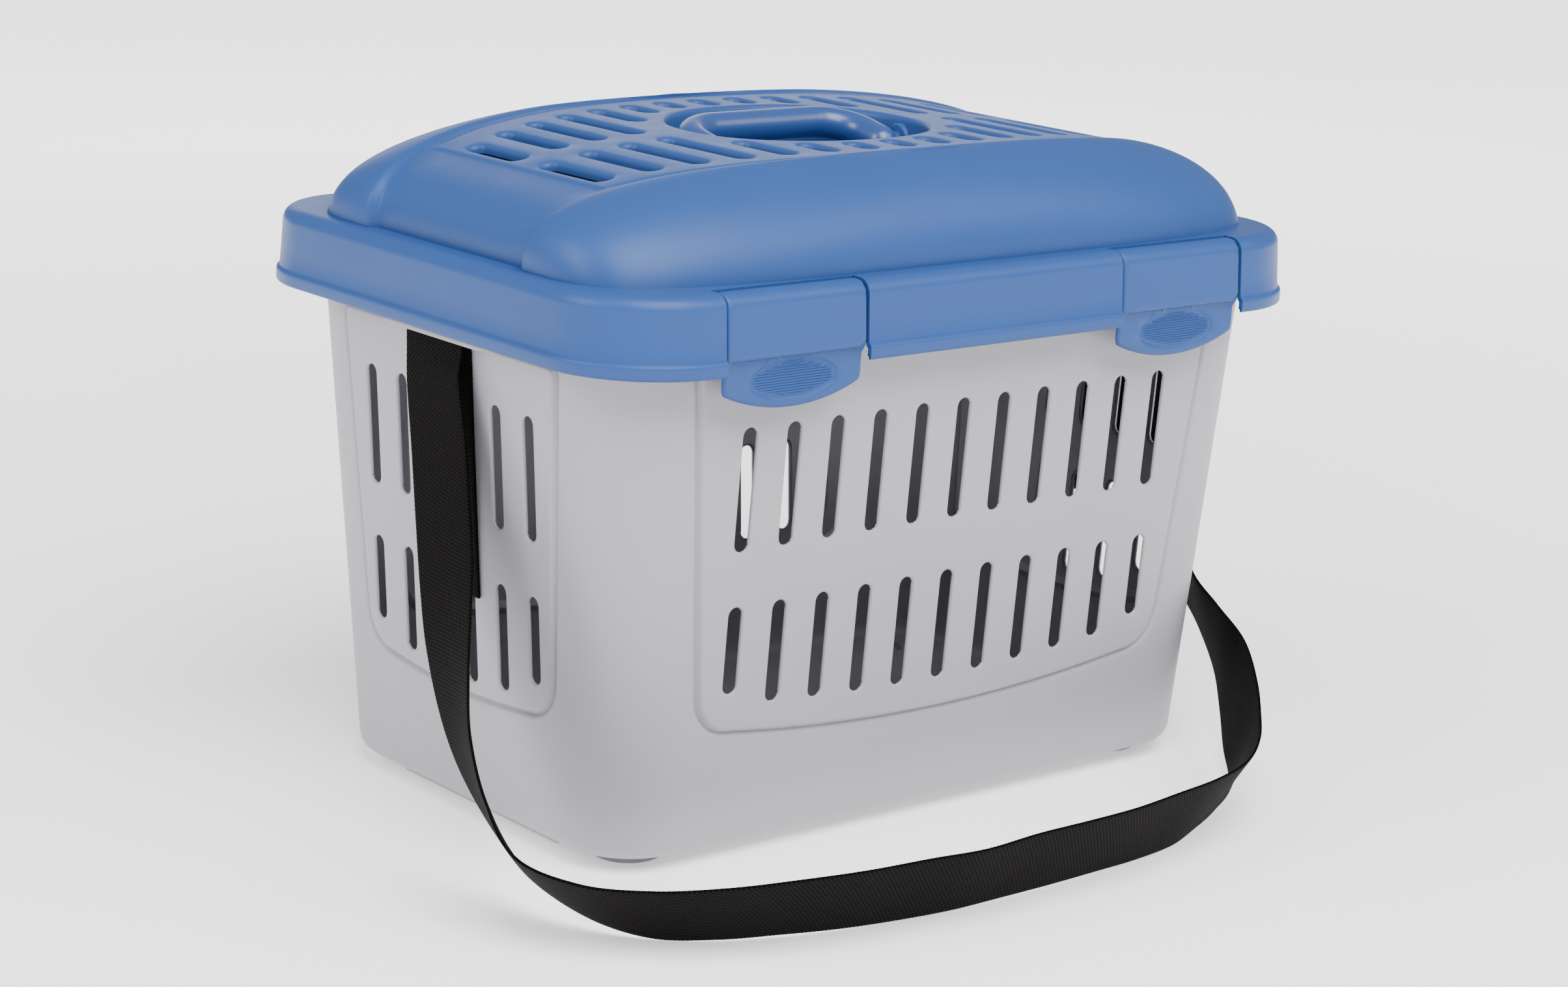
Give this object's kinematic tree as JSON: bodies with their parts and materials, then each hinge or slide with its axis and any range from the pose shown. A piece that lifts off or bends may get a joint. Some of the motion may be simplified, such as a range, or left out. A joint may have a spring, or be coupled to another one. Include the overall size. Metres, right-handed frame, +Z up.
{
  "type": "pet carrier",
  "caption": "Small plastic pet carrier: vented tub, domed lid with a grille and folding handle, rear hinge, front latches and a shoulder strap.",
  "frame": {"origin": "on the table, under the middle of the lid's outline", "axes": "+X along the long side, +Y to the hinge at the back, +Z up"},
  "size_m": [0.5327, 0.4225, 0.3329],
  "materials": {
    "tub_plastic": "light warm grey moulded plastic, satin",
    "foot_plastic": "light grey moulded plastic, satin",
    "lid_plastic": "medium blue moulded plastic, satin",
    "handle_plastic": "medium blue moulded plastic, half gloss",
    "latch_plastic": "medium blue moulded plastic, satin",
    "pin_steel": "plain steel wire pin",
    "webbing": "black woven webbing"
  },
  "bodies": {
    "tub": {"tub": "tub_plastic", "foot_front_left": "foot_plastic", "foot_front_right": "foot_plastic", "foot_rear_left": "foot_plastic", "foot_rear_right": "foot_plastic", "hinge_pin_left": "pin_steel", "hinge_pin_right": "pin_steel", "strap": "webbing", "strap_end_left": "webbing", "strap_end_right": "webbing"},
    "lid": {"lid": "lid_plastic", "latch_pin_left": "pin_steel", "latch_pin_right": "pin_steel"},
    "handle": {"handle": "handle_plastic"},
    "latch_left": {"latch_left": "latch_plastic"},
    "latch_right": {"latch_right": "latch_plastic"}
  },
  "joints": [
    {"name": "lid_hinge", "type": "hinge", "parent": "tub", "child": "lid", "pos_m": [0, 0.145, 0.254], "axis": [-1, 0, 0], "range_deg": [0, 100]},
    {"name": "handle_fold", "type": "hinge", "parent": "lid", "child": "handle", "pos_m": [0, -0.0062, 0.3171], "axis": [1, 0, 0], "range_deg": [0, 90]},
    {"name": "latch_left_swing", "type": "hinge", "parent": "lid", "child": "latch_left", "pos_m": [-0.1228, -0.1509, 0.275], "axis": [-1, 0, 0], "range_deg": [0, 60]},
    {"name": "latch_right_swing", "type": "hinge", "parent": "lid", "child": "latch_right", "pos_m": [0.1228, -0.1509, 0.275], "axis": [-1, 0, 0], "range_deg": [0, 60]}
  ]
}
